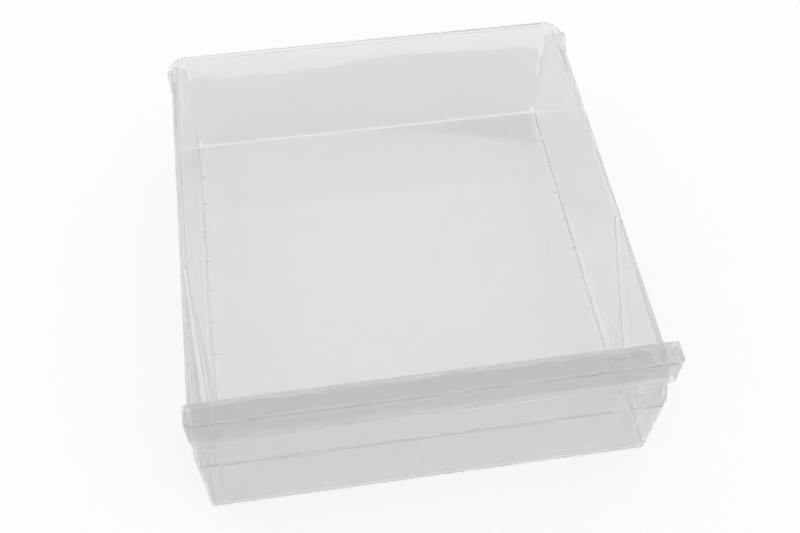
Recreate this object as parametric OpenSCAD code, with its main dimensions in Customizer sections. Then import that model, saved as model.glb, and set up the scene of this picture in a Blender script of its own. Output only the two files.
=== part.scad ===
// Freezer drawer, moulded in one piece from clear plastic. The front faces -Y, the base
// lies on z = 0, and the origin is at the middle of the base.

/* [Overall size] */
// Width over the side rims
drawer_w = 400; // [340:1:460]
// Depth from the front wall's face to the outside of the rear rim
drawer_d = 435; // [390:1:480]
// Height of the side and rear rims above the base
rim_h = 125; // [118:1:150]
// Height of the grip's top face above the base
grip_h = 161; // [157:1:185]

/* [Walls] */
// Thickness of the floor, the walls and the grip
wall = 2.5; // [2:0.1:3.2]
// Lean of the rear wall and of the rear part of the sides, from floor to rim
lean = 7; // [3:0.5:12]
// Lean of the front wall and of the front part of the sides, over the same height
front_lean = 2.5; // [1:0.25:5]
// Radius inside the rear upright corners, at the floor
rear_corner_r = 4; // [2:0.5:8]
// Radius outside the front upright corners, at the base
front_corner_r = 4; // [3.5:0.5:6]
// Radius outside the base's side and rear edges
base_r = 2; // [1:0.25:3]

/* [Rim] */
// Width of the rim, from the wall's inner face to its outer edge
rim_w = 6; // [5:0.5:9]
// Thickness of the rim's flange
rim_t = 3; // [2:0.5:4]
// Extra width of the flange behind each stop
rim_ear = 1.5; // [0.5:0.5:2.5]

/* [Rim stops] */
// Distance from the rear rim's outside to a stop's rear face
stop_back = 23; // [20:1:30]
// Length of a stop's level top
stop_top = 6; // [3:0.5:10]
// Length of the ramp in front of it
stop_ramp = 20; // [12:1:26]
// Rise of a stop above the rim
stop_h = 6; // [3:0.5:8]
// Width of a stop
stop_w = 5; // [3.5:0.5:6]
// How far a stop stands out past the side rim
stop_out = 3; // [1.5:0.5:4]

/* [Sloping ledge] */
// Distance from the riser back to where the ledge leaves the rim
ledge_reach = 160; // [120:1:200]
// Distance from the riser back to where the ledge turns down to the floor
ledge_foot = 39; // [34:1:55]
// Height at which the ledge turns down to the floor
ledge_foot_h = 30; // [20:1:45]

/* [Front and grip] */
// Depth of the grip's top, over the lip and the riser
grip_d = 20; // [16:0.5:26]
// Height of the lip that hangs at the front of the grip
lip_h = 33; // [24:1:38]
// Radius of the lip's lower corners
lip_corner_r = 6; // [4:0.5:9]
// How far each end of the grip stands in from the side rim
grip_inset = 0.5; // [0.25:0.25:3]
// How far the front wall stands ahead of the lip
front_step = 1; // [0.25:0.25:4]
// Height at which the front wall starts to slope back
brow_h = 87; // [60:1:95]
// Height at which the slope meets the upright riser
knee_h = 114; // [102:1:116]
// Radius outside the bends of the front wall and the grip
bend_r = 4; // [3.5:0.5:6]

/* [Floor] */
// Radius of the fillet between the floor and each side
fillet_r = 7.5; // [5:0.5:10]
// Radius of the fillet between the floor and the rear wall
rear_fillet_r = 3; // [1:0.5:4]
// Number of notches that break each side's fillet
notch_n = 9; // [4:1:9]
// Distance from one notch to the next
notch_pitch = 36.9; // [30:0.1:38]
// Width of a notch along the drawer
notch_w = 3.5; // [2:0.5:6]
// Distance from the rear wall's foot to the first notch
notch_start = 43.5; // [30:0.5:50]
// Number of low ribs along the floor
rib_n = 5; // [3:1:5]
// Distance from one rib to the next
rib_pitch = 64; // [50:1:66]
// Distance of the middle rib from the centre line
rib_shift = 24; // [0:1:30]
// Height of a rib's rounded crown above the floor
rib_h = 0.6; // [0.4:0.1:1.2]
// Width of a rib
rib_w = 5; // [3:0.5:8]
// Distance from the rear wall's foot to the ribs' rear ends
rib_start = 43; // [30:1:60]
// Length of a rib
rib_len = 300; // [100:5:310]

/* [Hidden] */
$fn = 96;
// Spare height and depth of a shape that is trimmed by another
spare = 20;
// Overlap of pieces that meet face to face
bite = 0.5;
// Extra radius of a rounding cone, so that the flat faces beside it cut it cleanly
trim = 0.02;
clear_colour = [0.88, 0.89, 0.89, 0.45];

front_y = -drawer_d / 2;
rear_y = drawer_d / 2;
lip_y = front_y + front_step;
riser_y = lip_y + grip_d;
cheek_back = riser_y + ledge_foot;
grip_x = drawer_w / 2 - grip_inset;
grip_foot = grip_h - lip_h;

// Inner faces of the sides' rear part and of the rear wall at height z
function leant(z) = lean * (rim_h - z) / (rim_h - wall);
function side_x(z) = drawer_w / 2 - rim_w - leant(z);
function back_y(z) = rear_y - rim_w - leant(z);

// Outer faces of the sides' front part, and of the front wall below its brow, at height z
function cheek_x(z) = drawer_w / 2 - front_lean * (rim_h - z) / rim_h;
function face_y(z) = front_y + front_lean * (brow_h - z) / rim_h;

// Y of the sloping ledge at height z
function ledge_y(z) = cheek_back
    + (z - ledge_foot_h) * (ledge_reach - ledge_foot) / (rim_h - ledge_foot_h);

function unit(v) = v / norm(v);
function across(v) = [-v[1], v[0]];
function flat(p) = [p[0], p[1]];
function before(p, i) = p[(i + len(p) - 1) % len(p)];
function after(p, i) = p[(i + 1) % len(p)];

// Outlines run anticlockwise, as points of [across, up, radius of the corner].
// A corner's two tangent points, its centre, and whether it bulges out
function corner(p, i) =
    let (
        b = flat(p[i]),
        u = unit(flat(before(p, i)) - b),
        v = unit(flat(after(p, i)) - b),
        half = acos(u * v) / 2,
        r = p[i][2]
    )
    [b + u * r / tan(half), b + v * r / tan(half), b + unit(u + v) * r / sin(half), v * across(u) < 0];

// Outline p moved inwards by d, with each corner kept concentric
function inset(p, d) = [
    for (i = [0:len(p) - 1])
        let (
            b = flat(p[i]),
            u = unit(b - flat(before(p, i))),
            v = unit(flat(after(p, i)) - b),
            q = b + d * (across(u) + across(v)) / (1 + u * v),
            r = p[i][2]
        )
        [q[0], q[1], r == 0 ? 0 : v * across(u) > 0 ? r - d : r + d]
];

// Area inside outline p, with its corners rounded
module area(p) {
    last = len(p) - 1;
    c = [for (i = [0:last]) p[i][2] > 0 ? corner(p, i) : [flat(p[i])]];
    round_ones = [for (i = [0:last]) if (p[i][2] > 0) i];
    difference() {
        union() {
            polygon([for (i = [0:last]) each len(c[i]) > 1 ? [c[i][0], c[i][1]] : c[i]]);
            for (i = round_ones) if (c[i][3]) translate(c[i][2]) circle(p[i][2]);
        }
        for (i = round_ones) if (!c[i][3]) translate(c[i][2]) circle(p[i][2]);
    }
}

module along_x(half) {
    rotate([90, 0, 90]) translate([0, 0, -half]) linear_extrude(2 * half) children();
}
module along_y(y0, y1) {
    translate([0, y1, 0]) rotate([90, 0, 0]) linear_extrude(y1 - y0) children();
}
module both_sides() {
    children();
    mirror([1, 0, 0]) children();
}

// Side view of the front wall, from a height above its knee down to the base
function front_outline(top) = [
    [riser_y - wall, top, 0],
    [riser_y - wall, knee_h, bend_r - wall],
    [front_y, brow_h, bend_r],
    [face_y(0), 0, bend_r]
];

// Side view of the whole bin, and of the wider front part of its sides
function bin_outline(top, rear_r) = concat(
    front_outline(top),
    [[back_y(0) + wall, 0, rear_r], [back_y(top) + wall, top, 0]]
);
function cheek_outline(top) = concat(
    front_outline(top),
    [[cheek_back, 0, 0], [cheek_back, ledge_foot_h, bend_r - wall], [ledge_y(top), top, 0]]
);

// Front view of a block that is x0 to each side at height z0 and x1 at z1
function leaning_outline(x0, x1, z0, z1, r) = [[-x0, z0, r], [x0, z0, r], [x1, z1, 0], [-x1, z1, 0]];

// Block that side and front outlines trim. It ends in two upright corners, rounded by cones
// on (cx, cy) and (-cx, cy), and its other end lies far off towards dir
module corner_block(x0, x1, z0, z1, cx, cy, dir) {
    reach = drawer_w + drawer_d;
    h = z1 - z0;
    translate([-reach, dir > 0 ? cy : cy - reach, z0]) cube([2 * reach, reach, h]);
    translate([-cx, dir > 0 ? cy - reach : cy, z0]) cube([2 * cx, reach, h]);
    both_sides() translate([cx, cy, z0]) cylinder(h = h, r1 = x0 - cx + trim, r2 = x1 - cx + trim);
}

// Rear part of the bin: the inner faces of its sides and corners moved out by skin
module bin_block(skin, z0, z1, r) {
    x0 = side_x(z0) + skin;
    x1 = side_x(z1) + skin;
    along_y(front_y, rear_y) area(leaning_outline(x0, x1, z0, z1, r));
}
module bin_corners(skin, z0, z1) {
    cx = side_x(wall) - rear_corner_r;
    cy = back_y(wall) - rear_corner_r;
    corner_block(side_x(z0) + skin, side_x(z1) + skin, z0, z1, cx, cy, -1);
}

// Front part of the bin: the outer faces of its sides and corners moved in by skin
module cheek_block(skin, z0, z1, r) {
    x0 = cheek_x(z0) - skin;
    x1 = cheek_x(z1) - skin;
    along_y(front_y, rear_y) area(leaning_outline(x0, x1, z0, z1, r));
}
module cheek_corners(skin, z0, z1) {
    cx = cheek_x(0) - front_corner_r;
    cy = face_y(0) + front_corner_r;
    corner_block(cheek_x(z0) - skin, cheek_x(z1) - skin, z0, z1, cx, cy, 1);
}

module bin_outside() {
    intersection() {
        along_x(drawer_w) area(bin_outline(rim_h, base_r));
        bin_block(wall, 0, rim_h, base_r);
        bin_corners(wall, 0, rim_h);
    }
    intersection() {
        along_x(drawer_w) area(cheek_outline(rim_h));
        cheek_block(0, 0, rim_h, base_r);
        cheek_corners(0, 0, rim_h);
    }
}

module bin_inside() {
    top = rim_h + spare;
    intersection() {
        along_x(drawer_w) area(inset(bin_outline(top + wall, rear_fillet_r + wall), wall));
        bin_block(0, wall, top, 0);
        bin_corners(0, wall, top);
    }
    intersection() {
        along_x(drawer_w) area(inset(cheek_outline(top + wall), wall));
        cheek_block(wall, wall, top, 0);
        cheek_corners(wall, wall, top);
    }
}

// Flange round the rear rim and the rear part of the side rims
module rim() {
    x0 = drawer_w / 2;
    x1 = x0 + rim_ear;
    y0 = ledge_y(rim_h - rim_t);
    y1 = rear_y - stop_back;
    r = rear_corner_r + lean + rim_w;
    translate([0, 0, rim_h - rim_t]) linear_extrude(rim_t) area([
        [-x0, y0, 0], [x0, y0, 0], [x0, y1, 0], [x1, y1, 0],
        [x1, rear_y, r], [-x1, rear_y, r], [-x1, y1, 0], [-x0, y1, 0]
    ]);
}

// Raised stop near the rear end of each side rim, with a ramp that runs forwards and inwards
module rim_stop() {
    y0 = rear_y - stop_back;
    y1 = y0 - stop_top;
    y2 = y1 - stop_ramp;
    x0 = drawer_w / 2;
    x1 = x0 + stop_out;
    z0 = rim_h - rim_t;
    z1 = rim_h + stop_h;
    both_sides() intersection() {
        along_x(drawer_w) polygon([[y0, z0], [y0, z1], [y1, z1], [y2, rim_h], [y2, z0]]);
        translate([0, 0, z0]) linear_extrude(z1 - z0) polygon([
            [x1, y0], [x1 - stop_w, y0], [x1 - stop_w, y1], [x0 - stop_w, y2], [x0, y2], [x1, y1]
        ]);
    }
}

// Grip across the front: a plate on top of the riser, a lip that hangs down from it, and a
// cheek that closes each end
module grip_block(skin, foot, foot_r) {
    x = grip_x - skin;
    y0 = lip_y + skin;
    y1 = riser_y - skin;
    top = grip_h - skin;
    r = bend_r - skin;
    intersection() {
        along_x(drawer_w) area([[y0, foot, 0], [y1, foot, 0], [y1, top, skin > 0 ? r : 1], [y0, top, r]]);
        along_y(front_y, rear_y) area([[-x, foot, foot_r], [x, foot, foot_r], [x, top, 1], [-x, top, 1]]);
        translate([0, 0, foot]) linear_extrude(top - foot)
            area([[-x, y0, r], [x, y0, r], [x, y1, skin > 0 ? r : 0], [-x, y1, skin > 0 ? r : 0]]);
    }
}

module grip() {
    difference() {
        grip_block(0, grip_foot, lip_corner_r);
        grip_block(wall, grip_foot - bite, 0);
    }
    riser_h = grip_foot + lip_corner_r - rim_h;
    translate([-grip_x, riser_y - wall, rim_h - bite]) cube([2 * grip_x, wall, riser_h + bite]);
}

// Fillet between the floor and a side whose inner face is x(z) apart, cut square at y0 and y1
module fillet(x_low, x_high, y0, y1) {
    up = 2 * fillet_r;
    foot = [x_low - up, wall, 0];
    c = corner([foot, [x_low, wall, fillet_r], [x_high, wall + up, 0]], 1);
    out = x_low + up;
    along_y(y0, y1) difference() {
        polygon([c[0], c[0] - [0, bite], [out, wall - bite], [out, c[1][1]], c[1]]);
        translate(c[2]) circle(fillet_r);
    }
}

// Fillets along both sides, which notches break at even steps behind the ledge's foot
module floor_fillets() {
    up = wall + 2 * fillet_r;
    front_end = cheek_back - wall;
    first = back_y(wall) - notch_start;
    both_sides() {
        difference() {
            fillet(side_x(wall), side_x(up), front_end, rear_y);
            for (i = [0:notch_n - 1])
                translate([0, first - i * notch_pitch - notch_w / 2, 0])
                    cube([drawer_w, notch_w, up]);
        }
        fillet(cheek_x(wall) - wall, cheek_x(up) - wall, front_y, front_end + bite);
    }
}

// Low rounded ribs along the floor
module floor_ribs() {
    r = (rib_w * rib_w / 4 + rib_h * rib_h) / (2 * rib_h);
    y1 = back_y(wall) - rib_start;
    for (i = [0:rib_n - 1])
        translate([rib_shift + (i - (rib_n - 1) / 2) * rib_pitch, 0, wall + rib_h - r])
            along_y(y1 - rib_len, y1) circle(r);
}

module drawer() {
    color(clear_colour) {
        difference() {
            union() {
                bin_outside();
                rim();
                rim_stop();
                grip();
            }
            difference() {
                bin_inside();
                floor_fillets();
                floor_ribs();
            }
        }
    }
}

drawer();
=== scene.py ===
"""Freezer drawer: a clear moulded bin on a pale studio floor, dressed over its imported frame."""

import math

import bpy
from mathutils import Matrix, Vector


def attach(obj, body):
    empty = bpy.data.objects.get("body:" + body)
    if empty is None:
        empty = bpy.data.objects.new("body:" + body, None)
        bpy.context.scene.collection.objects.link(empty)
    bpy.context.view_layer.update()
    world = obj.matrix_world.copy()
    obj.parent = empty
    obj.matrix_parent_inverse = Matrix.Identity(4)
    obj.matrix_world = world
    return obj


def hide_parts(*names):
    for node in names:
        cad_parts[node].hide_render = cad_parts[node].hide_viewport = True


bl_info = {
    "name": "Freezer Drawer",
    "version": (1, 0, 0),
    "blender": (4, 5, 0),
    "location": "View3D > Sidebar > Drawer",
    "description": "Finishes a clear moulded freezer drawer and sets up its studio",
    "category": "Object",
}

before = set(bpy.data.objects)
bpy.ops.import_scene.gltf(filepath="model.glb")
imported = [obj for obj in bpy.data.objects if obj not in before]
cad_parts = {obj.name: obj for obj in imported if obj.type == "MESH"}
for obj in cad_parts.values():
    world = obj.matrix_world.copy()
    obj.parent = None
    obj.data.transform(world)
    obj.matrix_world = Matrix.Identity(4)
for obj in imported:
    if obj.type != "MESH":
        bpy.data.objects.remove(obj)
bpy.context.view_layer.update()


class DrawerFinish(bpy.types.PropertyGroup):
    """Finish of the clear plastic"""

    tint: bpy.props.FloatVectorProperty(
        name="Tint",
        description="Colour of light that has crossed one wall",
        subtype="COLOR",
        min=0,
        max=1,
        default=(0.85, 0.852, 0.852),
    )
    ior: bpy.props.FloatProperty(
        name="Refraction",
        description="Index of refraction of the plastic",
        min=1.3,
        max=1.8,
        default=1.5,
    )
    straight: bpy.props.FloatProperty(
        name="Straight light",
        description="Share of light that crosses a face unbent, which keeps the edges grey",
        subtype="FACTOR",
        min=0,
        max=1,
        default=0.4,
    )
    face_tint: bpy.props.FloatVectorProperty(
        name="Straight tint",
        description="Colour of unbent light and of shadow that has crossed one face",
        subtype="COLOR",
        min=0,
        max=1,
        default=(0.92, 0.921, 0.921),
    )
    haze_low: bpy.props.FloatProperty(
        name="Least haze",
        description="Roughness where the plastic is clearest",
        subtype="FACTOR",
        min=0,
        max=1,
        default=0.02,
    )
    haze_high: bpy.props.FloatProperty(
        name="Most haze",
        description="Roughness where handling has dulled the plastic most",
        subtype="FACTOR",
        min=0,
        max=1,
        default=0.09,
    )
    haze_size: bpy.props.FloatProperty(
        name="Haze patches",
        description="Size of the patches of haze",
        unit="LENGTH",
        min=0.005,
        default=0.05,
    )
    wave_size: bpy.props.FloatProperty(
        name="Wave length",
        description="Length of the shallow waves that moulding leaves in the surface",
        unit="LENGTH",
        min=0.005,
        default=0.03,
    )
    wave_height: bpy.props.FloatProperty(
        name="Wave height",
        description="Height of those waves",
        unit="LENGTH",
        min=0,
        precision=5,
        default=0.00004,
    )
    crease: bpy.props.FloatProperty(
        name="Crease angle",
        description="Edges sharper than this stay crisp",
        subtype="ANGLE",
        default=math.radians(30),
    )
    flatness: bpy.props.IntProperty(
        name="Flatness",
        description="How strongly large flat faces keep their own direction beside a curve",
        min=1,
        max=100,
        default=100,
    )
    merge: bpy.props.FloatProperty(
        name="Merge distance",
        description="Corners of the moulding's faces closer than this are joined",
        unit="LENGTH",
        min=0,
        precision=6,
        default=0.000001,
    )


class DrawerStudio(bpy.types.PropertyGroup):
    """Floor, light and camera"""

    floor_size: bpy.props.FloatProperty(
        name="Floor size",
        description="Length of each side of the floor",
        unit="LENGTH",
        min=2,
        default=8,
    )
    floor_gap: bpy.props.FloatProperty(
        name="Floor gap",
        description="How far the floor lies below the drawer's base",
        unit="LENGTH",
        min=0,
        precision=4,
        default=0.0005,
    )
    floor_colour: bpy.props.FloatVectorProperty(
        name="Floor colour",
        description="Colour of the floor under the drawer's shadow",
        subtype="COLOR",
        min=0,
        max=1,
        default=(0.97, 0.97, 0.97),
    )
    floor_white: bpy.props.FloatProperty(
        name="Floor white",
        description="Share of plain white in what is seen of the floor",
        subtype="FACTOR",
        min=0,
        max=1,
        default=0.7,
    )
    light: bpy.props.FloatProperty(
        name="Light",
        description="Strength of the even studio light",
        min=0,
        default=1,
    )
    yaw: bpy.props.FloatProperty(
        name="Yaw",
        description="How far the camera looks to the right of straight ahead",
        subtype="ANGLE",
        default=math.radians(9.81),
    )
    pitch: bpy.props.FloatProperty(
        name="Pitch",
        description="How far the camera looks down",
        subtype="ANGLE",
        default=math.radians(55.4),
    )
    roll: bpy.props.FloatProperty(
        name="Roll",
        description="How far the camera leans to one side",
        subtype="ANGLE",
        default=math.radians(1.32),
    )
    place: bpy.props.FloatVectorProperty(
        name="Camera place",
        description="Where the camera stands",
        subtype="TRANSLATION",
        unit="LENGTH",
        default=(-0.1009, -0.6028, 0.9113),
    )
    lens: bpy.props.FloatProperty(
        name="Lens",
        description="Focal length on a full-frame sensor",
        unit="CAMERA",
        min=10,
        default=48.72,
    )


def cloud(tree, size, detail):
    """Noise of about the given size, fixed to the object."""
    place = tree.nodes.new("ShaderNodeTexCoord")
    noise = tree.nodes.new("ShaderNodeTexNoise")
    noise.inputs["Scale"].default_value = 1 / size
    noise.inputs["Detail"].default_value = detail
    tree.links.new(place.outputs["Object"], noise.inputs["Vector"])
    return noise.outputs["Fac"]


def greatest(tree, first, second):
    """The greater of a socket and another socket or number."""
    node = tree.nodes.new("ShaderNodeMath")
    node.operation = "MAXIMUM"
    tree.links.new(first, node.inputs[0])
    if isinstance(second, float):
        node.inputs[1].default_value = second
    else:
        tree.links.new(second, node.inputs[1])
    return node.outputs[0]


def blank_material(name):
    """A material with nothing but its output, its node tree and that output's socket."""
    mat = bpy.data.materials.new(name)
    mat.use_nodes = True
    tree = mat.node_tree
    tree.nodes.clear()
    out = tree.nodes.new("ShaderNodeOutputMaterial")
    return mat, tree, out.inputs["Surface"]


def clear_plastic(finish):
    """Clear, slightly grey plastic with patches of haze and shallow moulding waves."""
    mat, tree, surface = blank_material("clear_plastic")
    link = tree.links.new

    haze = tree.nodes.new("ShaderNodeMapRange")
    haze.inputs["To Min"].default_value = finish.haze_low
    haze.inputs["To Max"].default_value = finish.haze_high
    link(cloud(tree, finish.haze_size, 3), haze.inputs["Value"])

    waves = tree.nodes.new("ShaderNodeBump")
    waves.inputs["Distance"].default_value = finish.wave_height
    link(cloud(tree, finish.wave_size, 1), waves.inputs["Height"])

    body = tree.nodes.new("ShaderNodeBsdfPrincipled")
    body.inputs["Base Color"].default_value = (*finish.tint, 1)
    body.inputs["IOR"].default_value = finish.ior
    body.inputs["Transmission Weight"].default_value = 1
    link(haze.outputs["Result"], body.inputs["Roughness"])
    link(waves.outputs["Normal"], body.inputs["Normal"])

    through = tree.nodes.new("ShaderNodeBsdfTransparent")
    through.inputs["Color"].default_value = (*finish.face_tint, 1)

    path = tree.nodes.new("ShaderNodeLightPath")
    mix = tree.nodes.new("ShaderNodeMixShader")
    link(greatest(tree, path.outputs["Is Shadow Ray"], finish.straight), mix.inputs[0])
    link(body.outputs[0], mix.inputs[1])
    link(through.outputs[0], mix.inputs[2])
    link(mix.outputs[0], surface)
    return mat


def pale_floor(studio):
    """A floor that is seen as white, and that keeps a soft shadow under the drawer."""
    mat, tree, surface = blank_material("pale_floor")
    link = tree.links.new
    path = tree.nodes.new("ShaderNodeLightPath")
    mirrored = greatest(tree, path.outputs["Is Camera Ray"], path.outputs["Is Glossy Ray"])
    seen = greatest(tree, mirrored, path.outputs["Is Transmission Ray"])
    share = tree.nodes.new("ShaderNodeMath")
    share.operation = "MULTIPLY"
    share.inputs[1].default_value = studio.floor_white
    link(seen, share.inputs[0])

    paint = tree.nodes.new("ShaderNodeBsdfDiffuse")
    paint.inputs["Color"].default_value = (*studio.floor_colour, 1)
    white = tree.nodes.new("ShaderNodeEmission")
    mix = tree.nodes.new("ShaderNodeMixShader")
    link(share.outputs[0], mix.inputs[0])
    link(paint.outputs[0], mix.inputs[1])
    link(white.outputs[0], mix.inputs[2])
    link(mix.outputs[0], surface)
    return mat


class DRAWER_OT_moulding(bpy.types.Operator):
    """Make the drawer's moulding, smooth over its curves, in clear plastic"""

    bl_idname = "drawer.moulding"
    bl_label = "Moulding"

    def execute(self, context):
        finish = context.scene.drawer_finish
        bpy.ops.object.select_all(action="DESELECT")
        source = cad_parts["drawer"]
        piece = bpy.data.objects.new("drawer_moulding", source.data.copy())
        context.scene.collection.objects.link(piece)
        piece.select_set(True)
        context.view_layer.objects.active = piece

        bpy.ops.object.mode_set(mode="EDIT")
        bpy.ops.mesh.select_all(action="SELECT")
        bpy.ops.mesh.remove_doubles(threshold=finish.merge)
        bpy.ops.object.mode_set(mode="OBJECT")
        bpy.ops.object.shade_smooth_by_angle(angle=finish.crease)
        weigh = piece.modifiers.new("flat_faces", "WEIGHTED_NORMAL")
        weigh.keep_sharp = True
        weigh.weight = finish.flatness
        bpy.ops.object.modifier_apply(modifier=weigh.name)

        piece.data.materials.clear()
        piece.data.materials.append(clear_plastic(finish))
        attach(piece, "root")
        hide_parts("drawer")
        return {"FINISHED"}


def even_light(strength):
    """A plain white world."""
    world = bpy.data.worlds.new("studio")
    world.use_nodes = True
    tree = world.node_tree
    tree.nodes.clear()
    out = tree.nodes.new("ShaderNodeOutputWorld")
    sky = tree.nodes.new("ShaderNodeBackground")
    sky.inputs["Color"].default_value = (1, 1, 1, 1)
    sky.inputs["Strength"].default_value = strength
    tree.links.new(sky.outputs[0], out.inputs["Surface"])
    return world


def camera_matrix(studio):
    """Place and turn of a camera that looks ahead and down, and leans by its roll."""
    ahead = Vector((
        math.sin(studio.yaw) * math.cos(studio.pitch),
        math.cos(studio.yaw) * math.cos(studio.pitch),
        -math.sin(studio.pitch),
    ))
    level = Vector((math.cos(studio.yaw), -math.sin(studio.yaw), 0))
    upright = level.cross(ahead)
    across = math.cos(studio.roll) * level + math.sin(studio.roll) * upright
    up = math.cos(studio.roll) * upright - math.sin(studio.roll) * level
    matrix = Matrix((across, up, -ahead)).transposed().to_4x4()
    matrix.translation = studio.place
    return matrix


class DRAWER_OT_stage(bpy.types.Operator):
    """Lay the floor, set the light and place the camera"""

    bl_idname = "drawer.stage"
    bl_label = "Stage"

    def execute(self, context):
        scene = context.scene
        studio = scene.drawer_studio
        bpy.ops.object.select_all(action="DESELECT")
        bpy.ops.mesh.primitive_plane_add(size=studio.floor_size, location=(0, 0, -studio.floor_gap))
        floor = context.object
        floor.name = "floor"
        floor.data.materials.append(pale_floor(studio))

        scene.world = even_light(studio.light)

        camera = bpy.data.objects.new("camera", bpy.data.cameras.new("camera"))
        scene.collection.objects.link(camera)
        camera.matrix_world = camera_matrix(studio)
        camera.data.sensor_width = 36
        camera.data.lens = studio.lens
        scene.camera = camera
        scene.view_settings.view_transform = "Standard"
        return {"FINISHED"}


class DRAWER_PT_panel(bpy.types.Panel):
    """Sizes and colours of the drawer, and the steps that make it"""

    bl_idname = "DRAWER_PT_panel"
    bl_label = "Freezer Drawer"
    bl_space_type = "VIEW_3D"
    bl_region_type = "UI"
    bl_category = "Drawer"

    def draw(self, context):
        for group, step in (("drawer_finish", "drawer.moulding"), ("drawer_studio", "drawer.stage")):
            values = getattr(context.scene, group)
            box = self.layout.box()
            for name in values.bl_rna.properties.keys():
                if name not in ("rna_type", "name"):
                    box.prop(values, name)
            box.operator(step)


CLASSES = (DrawerFinish, DrawerStudio, DRAWER_OT_moulding, DRAWER_OT_stage, DRAWER_PT_panel)


def register():
    for item in CLASSES:
        bpy.utils.register_class(item)
    bpy.types.Scene.drawer_finish = bpy.props.PointerProperty(type=DrawerFinish)
    bpy.types.Scene.drawer_studio = bpy.props.PointerProperty(type=DrawerStudio)


def unregister():
    del bpy.types.Scene.drawer_studio
    del bpy.types.Scene.drawer_finish
    for item in reversed(CLASSES):
        bpy.utils.unregister_class(item)


def main():
    register()
    bpy.ops.drawer.moulding()
    bpy.ops.drawer.stage()


if __name__ == "__main__":
    main()
